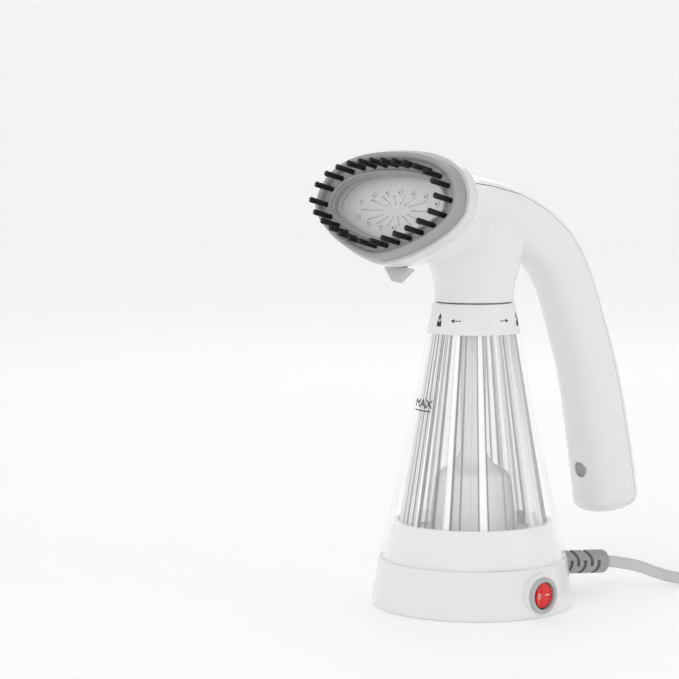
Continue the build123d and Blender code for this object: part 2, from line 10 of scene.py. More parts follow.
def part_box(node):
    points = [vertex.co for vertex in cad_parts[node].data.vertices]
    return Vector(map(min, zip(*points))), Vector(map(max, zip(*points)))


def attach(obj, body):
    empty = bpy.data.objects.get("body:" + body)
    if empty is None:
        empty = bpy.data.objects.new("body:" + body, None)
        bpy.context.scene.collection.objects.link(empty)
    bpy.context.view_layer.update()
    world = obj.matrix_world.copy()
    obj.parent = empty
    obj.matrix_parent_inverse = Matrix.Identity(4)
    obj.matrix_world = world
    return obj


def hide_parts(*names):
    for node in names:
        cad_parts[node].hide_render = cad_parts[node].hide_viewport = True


bl_info = {
    "name": "Garment Steamer",
    "version": (1, 0, 0),
    "blender": (4, 5, 0),
    "location": "3D View > Sidebar > Steamer",
    "description": "Dresses a handheld garment steamer and its studio",
    "category": "Object",
}

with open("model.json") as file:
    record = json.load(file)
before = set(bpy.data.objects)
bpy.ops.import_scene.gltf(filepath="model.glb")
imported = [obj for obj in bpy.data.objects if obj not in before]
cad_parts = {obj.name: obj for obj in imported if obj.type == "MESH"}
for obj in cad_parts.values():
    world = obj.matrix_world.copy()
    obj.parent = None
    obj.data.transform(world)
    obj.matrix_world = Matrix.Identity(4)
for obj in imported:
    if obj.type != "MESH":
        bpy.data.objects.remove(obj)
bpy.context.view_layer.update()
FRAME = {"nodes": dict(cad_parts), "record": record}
NODES = FRAME["nodes"]
SLOT_OF = {part["node"]: part["material_slot"] for part in FRAME["record"]["subparts"]}
MM = 0.001

# The nozzle's own frame: centre of the brush's front, the way it faces, and its up direction.
NOZZLE_TILT = math.radians(14.5)
NOZZLE_OUT = Vector((-math.cos(NOZZLE_TILT), 0.0, math.sin(NOZZLE_TILT)))
NOZZLE_UP = Vector((math.sin(NOZZLE_TILT), 0.0, math.cos(NOZZLE_TILT)))
NOZZLE_SIDE = Vector((0.0, -1.0, 0.0))


def middle(node):
    low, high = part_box(node)
    return (low + high) / 2


# Half the nozzle's width, its height above and below the middle, and how full those corners are.
NOZZLE_HALF_WIDTH = 67.8 * MM
NOZZLE_TOP = (35.5 * MM, 2.44)
NOZZLE_LOW = (33.7 * MM, 1.5)
BRUSH_DEPTH = 8.6 * MM
BRUSH_FLOOR = 4.0 * MM
BRISTLE_INSET = 8.4 * MM
TUFTS = 26

# The steam plate: its vents' oval ring, and how deep its face and the vents' bosses lie in the nozzle.
VENTS = 14
VENT_OVAL = (40.0 * MM, 11.5 * MM)
PLATE_TOP = -13.0 * MM
BOSS_TOP = -12.3 * MM

# Two (radius, height) points on a wall's slope, and the side that the camera looks from.
COLLAR = ((30.6 * MM, 179.4 * MM), (26.9 * MM, 198.5 * MM))
TANK_WALL = ((45.45 * MM, 102 * MM), (37.25 * MM, 141.3 * MM))
VIEW_SIDE = math.radians(47)
CAMERA_YAW = math.radians(3.385)
CAMERA_PITCH = math.radians(4.734)
BACKDROP_GLOW = 0.225
SKY_GLOW = 0.5


def nozzle_centre():
    """The middle of the brush frame's front face."""
    offset = (NOZZLE_TOP[0] - NOZZLE_LOW[0]) / 2
    return middle("brush_frame") + NOZZLE_OUT * BRUSH_DEPTH / 2 - NOZZLE_UP * offset


def nozzle_ring(shrink, count):
    """Points (across, up) along the nozzle's outline, drawn smaller by shrink."""
    ring = []
    for i in range(count):
        turn = 2 * math.pi * i / count
        across, up = math.cos(turn), math.sin(turn)
        half, fullness = NOZZLE_TOP if up > 0 else NOZZLE_LOW
        x = (NOZZLE_HALF_WIDTH - shrink) * abs(across) ** (2 / fullness)
        y = (half - shrink) * abs(up) ** (2 / fullness)
        ring.append((math.copysign(x, across), math.copysign(y, up)))
    return ring


def even_ring(shrink, count):
    """Points on the nozzle's outline at even steps of its length."""
    fine = nozzle_ring(shrink, 720)
    lengths = [0.0]
    for here, after in zip(fine, fine[1:] + fine[:1]):
        lengths.append(lengths[-1] + math.dist(here, after))
    wanted = np.arange(count) * lengths[-1] / count + lengths[-1] / count / 2
    closed = np.array(fine + fine[:1])
    return [(np.interp(w, lengths, closed[:, 0]), np.interp(w, lengths, closed[:, 1])) for w in wanted]


def nozzle_matrix():
    """Turns nozzle coordinates (side, up, out) into the steamer's frame."""
    turn = Matrix((NOZZLE_SIDE, NOZZLE_UP, NOZZLE_OUT)).transposed().to_4x4()
    return Matrix.Translation(nozzle_centre()) @ turn


# ------------------------------------------------------------------ shader kit


def socket_key(key):
    """A socket's name from a plain word, or its place in the list from a word such as i0."""
    return int(key[1:]) if key[0] == "i" and key[1:].isdigit() else key.replace("_", " ").title()


class Value:
    """A number that varies over a surface. Arithmetic on it adds Math nodes to its material."""

    def __init__(self, recipe, socket):
        self.recipe = recipe
        self.socket = socket

    def _math(self, operation, *others):
        return self.recipe.maths(operation, self, *others)

    def __add__(self, other):
        return self._math("ADD", other)

    def __radd__(self, other):
        return self.recipe.maths("ADD", other, self)

    def __mul__(self, other):
        return self._math("MULTIPLY", other)

    def __pow__(self, other):
        return self._math("POWER", other)

    def __gt__(self, other):
        return self._math("GREATER_THAN", other)

    def __lt__(self, other):
        return self._math("LESS_THAN", other)

    def least(self, other):
        return self._math("MINIMUM", other)


class Recipe:
    """A material being made: its Principled shader, and short calls that add nodes."""

    def __init__(self, name, colour, roughness, **constants):
        self.material = bpy.data.materials.new(name)
        self.material.use_nodes = True
        self.tree = self.material.node_tree
        self.shader = self.tree.nodes["Principled BSDF"]
        self.shader.inputs["Base Color"].default_value = (*colour, 1.0)
        self.shader.inputs["Roughness"].default_value = roughness
        for key, constant in constants.items():
            self.shader.inputs[socket_key(key).replace("Ior", "IOR")].default_value = constant

    def node(self, kind, settings=None, **values):
        made = self.tree.nodes.new(kind)
        for key, setting in (settings or {}).items():
            setattr(made, key, setting)
        for key, value in values.items():
            self.feed(made.inputs[socket_key(key)], value)
        return made

    def feed(self, socket, value):
        if isinstance(value, Value):
            self.tree.links.new(value.socket, socket)
        elif isinstance(value, bpy.types.NodeSocket):
            self.tree.links.new(value, socket)
        else:
            socket.default_value = value

    def maths(self, operation, *values):
        made = self.node("ShaderNodeMath", {"operation": operation})
        for socket, value in zip(made.inputs, values):
            self.feed(socket, value)
        return Value(self, made.outputs[0])

    def place(self, x=1.0, y=1.0, z=1.0):
        """Object coordinates, stretched along each axis."""
        where = self.node("ShaderNodeTexCoord").outputs["Object"]
        if (x, y, z) == (1.0, 1.0, 1.0):
            return where
        return self.node("ShaderNodeMapping", i0=where, scale=(x, y, z)).outputs[0]

    def along(self, axis):
        parts = self.node("ShaderNodeSeparateXYZ", i0=self.place())
        return Value(self, parts.outputs["XYZ".index(axis)])

    def noise(self, scale, detail=2.0, roughness=0.5, where=None):
        made = self.node("ShaderNodeTexNoise", scale=scale, detail=detail, roughness=roughness)
        self.feed(made.inputs["Vector"], where or self.place())
        return Value(self, made.outputs["Fac"])

    def mix(self, factor, first, second):
        made = self.node("ShaderNodeMix", {"data_type": "RGBA"})
        self.feed(made.inputs["Factor"], factor)
        for socket, colour in ((made.inputs[6], first), (made.inputs[7], second)):
            self.feed(socket, (*colour, 1.0) if isinstance(colour, tuple) else colour)
        return made.outputs[2]

    def colour(self, value):
        self.feed(self.shader.inputs["Base Color"], value)

    def roughness(self, value):
        self.feed(self.shader.inputs["Roughness"], value)

    def bump(self, height, strength=0.2, distance=0.0002):
        made = self.node("ShaderNodeBump", strength=strength, distance=distance, height=height)
        self.feed(self.shader.inputs["Normal"], made.outputs[0])


def moulded(name, colour, roughness, grain=0.06, shift=0.03, peel=900.0, **constants):
    """Moulded plastic or rubber: faint colour drift, uneven gloss and a fine moulded skin."""
    recipe = Recipe(name, colour, roughness, **constants)
    drift = recipe.noise(22.0, 3.0)
    darker = tuple(c * (1 - shift) for c in colour)
    recipe.colour(recipe.mix(drift, darker, colour))
    recipe.roughness(roughness * 0.8 + drift * roughness * 0.4)
    skin = recipe.noise(peel, 2.0) * 0.7 + recipe.noise(90.0, 1.0) * 0.3
    recipe.bump(skin, grain, 0.0002)
    return recipe.material


# ------------------------------------------------------------------ mesh kit


def new_mesh(name, points, faces, smooth=True):
    mesh = bpy.data.meshes.new(name)
    mesh.from_pydata([tuple(p) for p in points], [], faces)
    mesh.validate()
    mesh.polygons.foreach_set("use_smooth", [smooth] * len(mesh.polygons))
    thing = bpy.data.objects.new(name, mesh)
    bpy.context.scene.collection.objects.link(thing)
    return thing


def dress(thing, material):
    thing.data.materials.clear()
    thing.data.materials.append(material)
    return thing


def outward(thing, merge=0.0):
    """Merges doubled points and turns every face outwards."""
    work = bmesh.new()
    work.from_mesh(thing.data)
    if merge:
        bmesh.ops.remove_doubles(work, verts=work.verts, dist=merge)
    bmesh.ops.recalc_face_normals(work, faces=work.faces)
    work.to_mesh(thing.data)
    work.free()
    return thing


def apply_all(thing):
    """Replaces a piece by its evaluated mesh, so that no modifier is left on it."""
    graph = bpy.context.evaluated_depsgraph_get()
    done = bpy.data.meshes.new_from_object(thing.evaluated_get(graph))
    thing.modifiers.clear()
    if thing.type == "MESH":
        thing.data = done
        return thing
    name = thing.name
    bpy.data.objects.remove(thing)
    made = bpy.data.objects.new(name, done)
    bpy.context.scene.collection.objects.link(made)
    return made


def modify(thing, kind, **settings):
    made = thing.modifiers.new(kind.title(), kind)
    for key, setting in settings.items():
        setattr(made, key, setting)
    return made


def lathe(name, profile, steps=128, closed=True):
    """A turned piece from (radius, height) points; closed joins the last point to the first."""
    points, faces = [], []
    count = len(profile)
    for i in range(steps):
        turn = 2 * math.pi * i / steps
        points += [(r * math.cos(turn), r * math.sin(turn), z) for r, z in profile]
    for i in range(steps):
        here, there = i * count, (i + 1) % steps * count
        for k in range(count if closed else count - 1):
            after = (k + 1) % count
            faces.append((here + k, there + k, there + after, here + after))
    return outward(new_mesh(name, points, faces))


def sharp(thing, degrees=35):
    """Smooth shading that keeps the edges turning by more than the given angle."""
    thing.data.set_sharp_from_angle(angle=math.radians(degrees))
    return thing


def sweep_ring(name, profile, count=160):
    """A closed profile of (inset, depth) points, carried around the nozzle's outline."""
    points, faces = [], []
    size = len(profile)
    rings = [nozzle_ring(inset, count) for inset, _ in profile]
    place = nozzle_matrix()
    for i in range(count):
        points += [place @ Vector((*rings[k][i], profile[k][1])) for k in range(size)]
    for i in range(count):
        here, there = i * size, (i + 1) % count * size
        faces += [(here + k, there + k, there + (k + 1) % size, here + (k + 1) % size) for k in range(size)]
    return sharp(outward(new_mesh(name, points, faces)))


def copy_of(*names):
    """One mesh with the merged surfaces of the named carried parts."""
    work = bmesh.new()
    for name in names:
        work.from_mesh(NODES[name].data)
    bmesh.ops.remove_doubles(work, verts=work.verts, dist=0.01 * MM)
    made = bpy.data.objects.new("copy", bpy.data.meshes.new("copy"))
    bmesh.ops.recalc_face_normals(work, faces=work.faces)
    work.to_mesh(made.data)
    work.free()
    bpy.context.scene.collection.objects.link(made)
    return made


def relax(thing, free, rounds, ease=0.5, back=-0.505):
    """Smooths a mesh without shrinking it; free says how far each point may follow, 0 to 1."""
    mesh = thing.data
    places = np.empty(len(mesh.vertices) * 3)
    mesh.vertices.foreach_get("co", places)
    places = places.reshape(-1, 3)
    edges = np.empty(len(mesh.edges) * 2, dtype=int)
    mesh.edges.foreach_get("vertices", edges)
    first, second = edges.reshape(-1, 2).T
    count = len(places)
    joined = np.bincount(first, minlength=count) + np.bincount(second, minlength=count)
    weight = free(places)[:, None]
    for i in range(2 * rounds):
        pull = np.empty_like(places)
        for axis in range(3):
            line = places[:, axis]
            total = np.bincount(first, line[second], count) + np.bincount(second, line[first], count)
            pull[:, axis] = total / joined - line
        places = places + (back if i % 2 else ease) * weight * pull
    mesh.vertices.foreach_set("co", places.ravel())
    mesh.update()
    return thing


def loose_parts(thing):
    """Splits a mesh into its separate pieces, largest first; crumbs are dropped."""
    work = bmesh.new()
    work.from_mesh(thing.data)
    work.verts.ensure_lookup_table()
    seen, groups = set(), []
    for start in work.verts:
        if start.index in seen:
            continue
        seen.add(start.index)
        group, queue = [], [start]
        while queue:
            vert = queue.pop()
            group.append(vert.index)
            for edge in vert.link_edges:
                other = edge.other_vert(vert)
                if other.index not in seen:
                    seen.add(other.index)
                    queue.append(other)
        groups.append(group)
    groups.sort(key=len, reverse=True)
    made = []
    for group in groups[:2]:
        wanted = set(group)
        part = work.copy()
        bmesh.ops.delete(part, geom=[v for v in part.verts if v.index not in wanted], context="VERTS")
        mesh = bpy.data.meshes.new(thing.name)
        part.to_mesh(mesh)
        part.free()
        piece = bpy.data.objects.new(thing.name, mesh)
        bpy.context.scene.collection.objects.link(piece)
        made.append(piece)
    work.free()
    bpy.data.objects.remove(thing)
    return made


# ------------------------------------------------------------------ raised marks


def strips(work, step):
    """Cuts a flat mesh into upright strips, so that it can follow a round wall."""
    xs = [v.co.x for v in work.verts]
    x = min(xs) + step
    while x < max(xs):
        bmesh.ops.bisect_plane(work, geom=work.verts[:] + work.edges[:] + work.faces[:],
                               plane_co=(x, 0, 0), plane_no=(1, 0, 0))
        x += step


def stamp(name, work, place, raised=0.12 * MM, sunk=0.1 * MM):
    """Thickens a flat mesh and lays it on a surface; place maps (across, up, height) there."""
    strips(work, 1.0 * MM)
    bmesh.ops.triangulate(work, faces=work.faces)
    for vert in work.verts:
        vert.co.z = -sunk
    grown = bmesh.ops.extrude_face_region(work, geom=work.faces[:])
    for item in grown["geom"]:
        if isinstance(item, bmesh.types.BMVert):
            item.co.z = raised
    for vert in work.verts:
        vert.co = place(*vert.co)
    bmesh.ops.recalc_face_normals(work, faces=work.faces)
    mesh = bpy.data.meshes.new(name)
    work.to_mesh(mesh)
    work.free()
    thing = bpy.data.objects.new(name, mesh)
    bpy.context.scene.collection.objects.link(thing)
    return thing


def flat(*outlines):
    """A flat mesh of filled outlines, in metres."""
    work = bmesh.new()
    for outline in outlines:
        work.faces.new([work.verts.new((x * MM, y * MM, 0)) for x, y in outline])
    return work


def half_ring(x, y, outer, inner, legs, steps=10):
    """A padlock's shackle: half a ring on two short legs."""
    arc = [math.pi * i / steps for i in range(steps + 1)]
    over = [(x + outer * math.cos(a), y + outer * math.sin(a)) for a in arc]
    under = [(x + inner * math.cos(a), y + inner * math.sin(a)) for a in reversed(arc)]
    return [(x + outer, y - legs)] + over + [(x - outer, y - legs / 3), (x - inner, y - legs / 3)] + under + [
        (x + inner, y - legs)]


def on_wall(turn, height, wall):
    """Maps flat marks onto a tapering round wall; turn is seen from the camera's side."""
    (low_r, low_z), (high_r, high_z) = wall

    def place(across, up, out):
        z = height + up
        radius = low_r + (high_r - low_r) * (z - low_z) / (high_z - low_z)
        angle = turn + across / radius
        side = (radius + out) * math.sin(angle)
        front = (radius + out) * math.cos(angle)
        return Vector((-math.cos(VIEW_SIDE) * front + math.sin(VIEW_SIDE) * side,
                       -math.sin(VIEW_SIDE) * front - math.cos(VIEW_SIDE) * side, z))
    return place


def lettering(text, width, height):
    """A flat mesh of plain letters, centred, with the given width and height."""
    curve = bpy.data.curves.new("letters", "FONT")
    curve.body = text
    curve.align_x = "CENTER"
    curve.align_y = "CENTER"
    holder = bpy.data.objects.new("letters", curve)
    bpy.context.scene.collection.objects.link(holder)
    letters = apply_all(holder)
    work = bmesh.new()
    work.from_mesh(letters.data)
    bpy.data.objects.remove(letters)
    xs = [v.co.x for v in work.verts]
    ys = [v.co.y for v in work.verts]
    scale = (width / (max(xs) - min(xs)), height / (max(ys) - min(ys)), 1)
    bmesh.ops.remove_doubles(work, verts=work.verts, dist=1e-5)
    bmesh.ops.scale(work, vec=scale, verts=work.verts)
    return work


# ------------------------------------------------------------------ geometry node trees


class Tree:
    """A Geometry Nodes tree being built, with short calls that add nodes and named inputs."""

    def __init__(self, name):
        self.group = bpy.data.node_groups.new(name, "GeometryNodeTree")
        self.group.interface.new_socket("Geometry", in_out="INPUT", socket_type="NodeSocketGeometry")
        self.group.interface.new_socket("Geometry", in_out="OUTPUT", socket_type="NodeSocketGeometry")
        self.start = self.group.nodes.new("NodeGroupInput")
        self.end = self.group.nodes.new("NodeGroupOutput")
        self.sizes = {}

    def size(self, name, value, kind="Float"):
        """A named input; gives the socket that reads it."""
        made = self.group.interface.new_socket(name, in_out="INPUT", socket_type="NodeSocket" + kind)
        self.sizes[made.identifier] = value
        return self.start.outputs[name]

    def node(self, kind, settings=None, **values):
        made = self.group.nodes.new(kind)
        for key, setting in (settings or {}).items():
            setattr(made, key, setting)
        for key, value in values.items():
            socket = made.inputs[socket_key(key)]
            if isinstance(value, bpy.types.NodeSocket):
                self.group.links.new(value, socket)
            else:
                socket.default_value = value
        return made.outputs

    def maths(self, operation, first, second=0.0):
        return self.node("ShaderNodeMath", {"operation": operation}, i0=first, i1=second)[0]

    def finish(self, geometry, material):
        real = self.node("GeometryNodeRealizeInstances", i0=geometry)[0]
        done = self.node("GeometryNodeSetMaterial", i0=real, Material=material)[0]
        self.group.links.new(done, self.end.inputs[0])

    def grow(self, thing):
        """Runs the tree on an object and keeps the result as its plain mesh."""
        made = thing.modifiers.new("grow", "NODES")
        made.node_group = self.group
        for identifier, value in self.sizes.items():
            made[identifier] = value
        return apply_all(thing)


# ------------------------------------------------------------------ finishes


def finish_white():
    return moulded("gloss_white", (0.86, 0.86, 0.86), 0.2, coat_weight=0.25, coat_roughness=0.08)


def finish_clear():
    """Clear wall: nearly invisible face on, with a painted grey shade line where it is seen edge on and a
    painted glow in its own colour.
    """
    recipe = Recipe("clear_wall", (0.86, 0.88, 0.89), 0.06, ior=1.45)
    edge = Value(recipe, recipe.node("ShaderNodeLayerWeight", blend=0.5).outputs["Facing"])
    # Painted shade: the wall's colour turns dark grey where it is seen edge on.
    look = recipe.mix(edge ** 5.0, (0.95, 0.96, 0.97), (0.2, 0.205, 0.21))
    recipe.colour(look)
    # Painted glow: the wall gives off light in its own colour.
    recipe.feed(recipe.shader.inputs["Emission Color"], look)
    recipe.shader.inputs["Emission Strength"].default_value = 0.3
    recipe.feed(recipe.shader.inputs["Alpha"], edge ** 4.0 * 0.45 + 0.04)
    drift = recipe.noise(40.0, 2.0)
    recipe.roughness(0.04 + drift * 0.05)
    recipe.bump(recipe.noise(60.0, 2.0), 0.04, 0.0004)
    return recipe.material


def finish_dome():
    """Milky bell with painted shade: painted bright in the middle and painted grey where it turns away from
    the view.
    """
    recipe = Recipe("milky_dome", (0.7, 0.7, 0.71), 0.3)
    edge = Value(recipe, recipe.node("ShaderNodeLayerWeight", blend=0.5).outputs["Facing"])
    drift = recipe.noise(30.0, 2.0)
    # Painted shade: the bell's colour turns grey towards its edges as seen from the view.
    turned = (edge ** 2.0 * 1.1 + drift * 0.06).least(1.0)
    recipe.colour(recipe.mix(turned, (0.98, 0.98, 0.98), (0.2, 0.205, 0.21)))
    recipe.roughness(0.26 + drift * 0.1)
    recipe.bump(recipe.noise(300.0, 3.0), 0.04, 0.0003)
    return recipe.material


def finish_fluted():
    """Clear ribbed wall with painted refraction: white, clear and grey bands and dark groove lines painted on
    each rib stand in for the way it bends the light, with a painted glow on top.
    """
    recipe = Recipe("fluted_clear", (0.9, 0.9, 0.9), 0.1, ior=1.45)
    turn = recipe.maths("ARCTAN2", recipe.along("Y"), recipe.along("X"))
    ribs = turn * (FLUTES / (2 * math.pi)) + 100.0
    number = recipe.maths("FLOOR", ribs)
    share = recipe.maths("FRACT", ribs)
    luck = recipe.node("ShaderNodeTexWhiteNoise", {"noise_dimensions": "1D"}, w=number)
    shade = Value(recipe, luck.outputs["Value"])
    other = recipe.node("ShaderNodeTexWhiteNoise", {"noise_dimensions": "1D"}, w=number + 31.7)
    edge = Value(recipe, other.outputs["Value"])
    drift = recipe.noise(14.0, 2.0)
    # Painted shade: dark lines painted along the groove edges of some ribs.
    line = (share > 0.82) * (edge > 0.3)
    thin = (share < 0.13) * (edge > 0.6)
    dark = (line * 0.9 + thin * 0.6).least(1.0)
    # Painted refraction: lighter and greyer bands painted on whole ribs.
    band = (shade > 0.78) * 0.4 + (shade > 0.92) * 0.4
    body = recipe.mix((band + drift * 0.1).least(1.0), (0.97, 0.97, 0.97), (0.42, 0.425, 0.43))
    look = recipe.mix(dark, body, (0.07, 0.075, 0.08))
    recipe.colour(look)
    # Painted glow: the wall gives off light in its own colour, so it reads lighter.
    recipe.feed(recipe.shader.inputs["Emission Color"], look)
    recipe.shader.inputs["Emission Strength"].default_value = 0.45
    white = (shade < 0.34) * 0.3
    recipe.feed(recipe.shader.inputs["Alpha"], (white + dark * 0.6 + band * 0.16 + 0.04).least(0.9))
    recipe.roughness(0.08 + drift * 0.08)
    recipe.bump(recipe.noise(80.0, 2.0), 0.04, 0.0003)
    return recipe.material


def finish_ring():
    return moulded("switch_ring", (0.46, 0.465, 0.46), 0.22, coat_weight=0.3, coat_roughness=0.06)


def finish_tab():
    return moulded("satin_tab", (0.56, 0.56, 0.565), 0.35)


def finish_ink():
    return moulded("printed_ink", (0.02, 0.02, 0.02), 0.5, shift=0.3)


def finish_paint():
    return moulded("white_paint", (0.85, 0.85, 0.85), 0.4)


def finish_grey():
    return moulded("satin_grey", (0.37, 0.37, 0.375), 0.36, grain=0.1)


def finish_pale():
    return moulded("pale_grey", (0.76, 0.76, 0.765), 0.25)


def finish_plate():
    recipe = Recipe("steam_plate", (0.68, 0.68, 0.685), 0.34, metallic=0.12)
    brushed = recipe.noise(60.0, 3.0, where=recipe.place(1.0, 14.0, 1.0))
    recipe.colour(recipe.mix(brushed, (0.66, 0.66, 0.665), (0.76, 0.76, 0.765)))
    recipe.roughness(0.28 + brushed * 0.14)
    recipe.bump(brushed, 0.05, 0.0002)
    return recipe.material


def finish_bristle():
    return moulded("nylon_black", (0.012, 0.012, 0.013), 0.42, shift=0.3)


def finish_red():
    return moulded("switch_red", (0.8, 0.014, 0.012), 0.22, coat_weight=0.15, coat_roughness=0.05)


def finish_cord():
    return moulded("cord_jacket", (0.6, 0.6, 0.605), 0.48, grain=0.12, shift=0.06)


def finish_relief():
    return moulded("relief_rubber", (0.34, 0.345, 0.35), 0.5, grain=0.12, shift=0.08)


def finish_silicone():
    return moulded("silicone", (0.7, 0.7, 0.68), 0.5)


def finish_foot():
    return moulded("foot_rubber", (0.25, 0.25, 0.25), 0.7, grain=0.25)


def finish_black():
    return moulded("black_plastic", (0.02, 0.02, 0.02), 0.4)


def finish_metal(name, colour, roughness):
    recipe = Recipe(name, colour, roughness, metallic=1.0)
    scratches = recipe.noise(300.0, 3.0, where=recipe.place(1.0, 1.0, 12.0))
    recipe.roughness(roughness * 0.8 + scratches * roughness * 0.5)
    recipe.colour(recipe.mix(scratches, tuple(c * 0.85 for c in colour), colour))
    recipe.bump(scratches, 0.06, 0.0001)
    return recipe.material


def make_finishes():
    return {
        "white_shell": finish_white(),
        "clear_tank": finish_clear(),
        "fluted_tank": finish_fluted(),
        "ink": finish_ink(),
        "tab": finish_tab(),
        "ring": finish_ring(),
        "paint": finish_paint(),
        "steam_dome": finish_dome(),
        "grey_trim": finish_grey(),
        "pale_grey": finish_pale(),
        "steam_plate": finish_plate(),
        "bristle_black": finish_bristle(),
        "switch_red": finish_red(),
        "cord_grey": finish_cord(),
        "relief_grey": finish_relief(),
        "silicone": finish_silicone(),
        "foot_rubber": finish_foot(),
        "black_plastic": finish_black(),
        "alloy": finish_metal("cast_alloy", (0.62, 0.62, 0.63), 0.5),
        "steel": finish_metal("plated_steel", (0.6, 0.6, 0.6), 0.28),
        "brass": finish_metal("brass", (0.78, 0.6, 0.28), 0.25),
    }


FINISHES = {}
OWN_FINISH = {"release_lever": "tab", "switch_bezel": "ring"}


def settings():
    return bpy.context.scene.steamer


# ------------------------------------------------------------------ properties


class SteamerSettings(bpy.types.PropertyGroup):
    view_distance: bpy.props.FloatProperty(
        name="View distance", description="How far the camera stands from the tank's axis",
        default=1.4858, min=0.5, unit="LENGTH")
    view_height: bpy.props.FloatProperty(
        name="View height", description="The camera's height above the floor",
        default=0.2973, unit="LENGTH")
    view_turn: bpy.props.FloatProperty(
        name="View turn", description="Angle between the nozzle's direction and the camera's place",
        default=VIEW_SIDE, subtype="ANGLE")
    view_lens: bpy.props.FloatProperty(
        name="Lens", description="Focal length in millimetres on a 36 mm sensor",
        default=120.65, min=10)
    cord_diameter: bpy.props.FloatProperty(
        name="Cord diameter", description="Outer diameter of the mains cord",
        default=0.008, unit="LENGTH")
    flute_depth: bpy.props.FloatProperty(
        name="Flute depth", description="Depth of the grooves between the tank's ribs",
        default=0.0011, unit="LENGTH")
    skin_detail: bpy.props.FloatProperty(
        name="Skin detail", description="Grid size of the head's blended skin",
        default=0.0012, unit="LENGTH")
    groove: bpy.props.FloatProperty(
        name="Groove", description="Width of the parting groove along the grip",
        default=0.0005, unit="LENGTH")
    tuft_length: bpy.props.FloatProperty(
        name="Tuft length", description="How far the bristle tufts stand out of their seats",
        default=0.0148, unit="LENGTH")


# ------------------------------------------------------------------ studio


class STEAMER_OT_studio(bpy.types.Operator):
    """Set up the camera, the pale floor and backdrop, and the soft lights."""

    bl_idname = "steamer.studio"
    bl_label = "Studio"

    def execute(self, context):
        self.camera(context)
        self.backdrop()
        self.lights(context)
        return {"FINISHED"}

    def camera(self, context):
        chosen = settings()
        turn = chosen.view_turn
        toward = Vector((-math.cos(turn), -math.sin(turn), 0))
        right = Vector((math.sin(turn), -math.cos(turn), 0))
        level = -toward * math.cos(CAMERA_YAW) - right * math.sin(CAMERA_YAW)
        look = level * math.cos(CAMERA_PITCH) - Vector((0, 0, 1)) * math.sin(CAMERA_PITCH)
        data = bpy.data.cameras.new("camera")
        data.lens = chosen.view_lens
        data.sensor_width = 36.0
        data.clip_end = 30.0
        camera = bpy.data.objects.new("camera", data)
        camera.location = toward * chosen.view_distance + Vector((0, 0, chosen.view_height))
        camera.rotation_euler = look.to_track_quat("-Z", "Y").to_euler()
        context.scene.collection.objects.link(camera)
        context.scene.camera = camera

    def backdrop(self):
        """One sheet, flat under the object and curving up far away on every side."""
        radius, bend, height, steps, rise = 3.2, 1.2, 3.0, 96, 10
        profile = [(0.6, 0.0), (1.6, 0.0), (radius - bend, 0.0)]
        for i in range(1, rise + 1):
            turn = math.pi / 2 * i / rise
            profile.append((radius - bend + bend * math.sin(turn), bend - bend * math.cos(turn)))
        profile.append((radius, height))
        points = [(0.0, 0.0, 0.0)]
        for r, z in profile:
            points += [(r * math.cos(2 * math.pi * i / steps), r * math.sin(2 * math.pi * i / steps), z)
                       for i in range(steps)]
        faces = [(0, 1 + i, 1 + (i + 1) % steps) for i in range(steps)]
        for k in range(len(profile) - 1):
            for i in range(steps):
                a, b = 1 + k * steps + i, 1 + k * steps + (i + 1) % steps
                faces.append((a, a + steps, b + steps, b))
        sheet = new_mesh("backdrop", points, faces)
        recipe = Recipe("studio_paper", (0.86, 0.86, 0.86), 0.9)
        fibre = recipe.noise(30.0, 3.0)
        recipe.colour(recipe.mix(fibre, (0.85, 0.85, 0.85), (0.87, 0.87, 0.87)))
        recipe.shader.inputs["Emission Color"].default_value = (1, 1, 1, 1)
        recipe.shader.inputs["Emission Strength"].default_value = BACKDROP_GLOW
        dress(sheet, recipe.material)

    def lights(self, context):
        scene = context.scene
        scene.view_settings.view_transform = "Standard"
        world = bpy.data.worlds.new("soft_sky")
        world.use_nodes = True
        world.node_tree.nodes["Background"].inputs[0].default_value = (1, 1, 1, 1)
        world.node_tree.nodes["Background"].inputs[1].default_value = SKY_GLOW
        scene.world = world
        # name, place, aim, size, power
        lamps = (
            ("key", (-1.6, -0.9, 1.7), (0, 0, 0.15), 1.2, 6.2),
            ("fill", (0.9, -1.9, 1.1), (0, 0, 0.15), 1.2, 2.0),
            ("top", (0.1, 0.2, 2.3), (0, 0, 0.1), 1.6, 5.0),
            ("back", (1.3, 1.4, 1.2), (0, 0, 0.2), 1.0, 2.5),
        )
        for name, place, aim, size, power in lamps:
            data = bpy.data.lights.new(name, "AREA")
            data.shape = "SQUARE"
            data.size = size
            data.energy = power
            lamp = bpy.data.objects.new(name, data)
            lamp.location = place
            lamp.rotation_euler = (Vector(aim) - Vector(place)).to_track_quat("-Z", "Y").to_euler()
            scene.collection.objects.link(lamp)


# ------------------------------------------------------------------ cord

COIL_CENTRE = Vector((228.0, -54.0, 0.0)) * MM


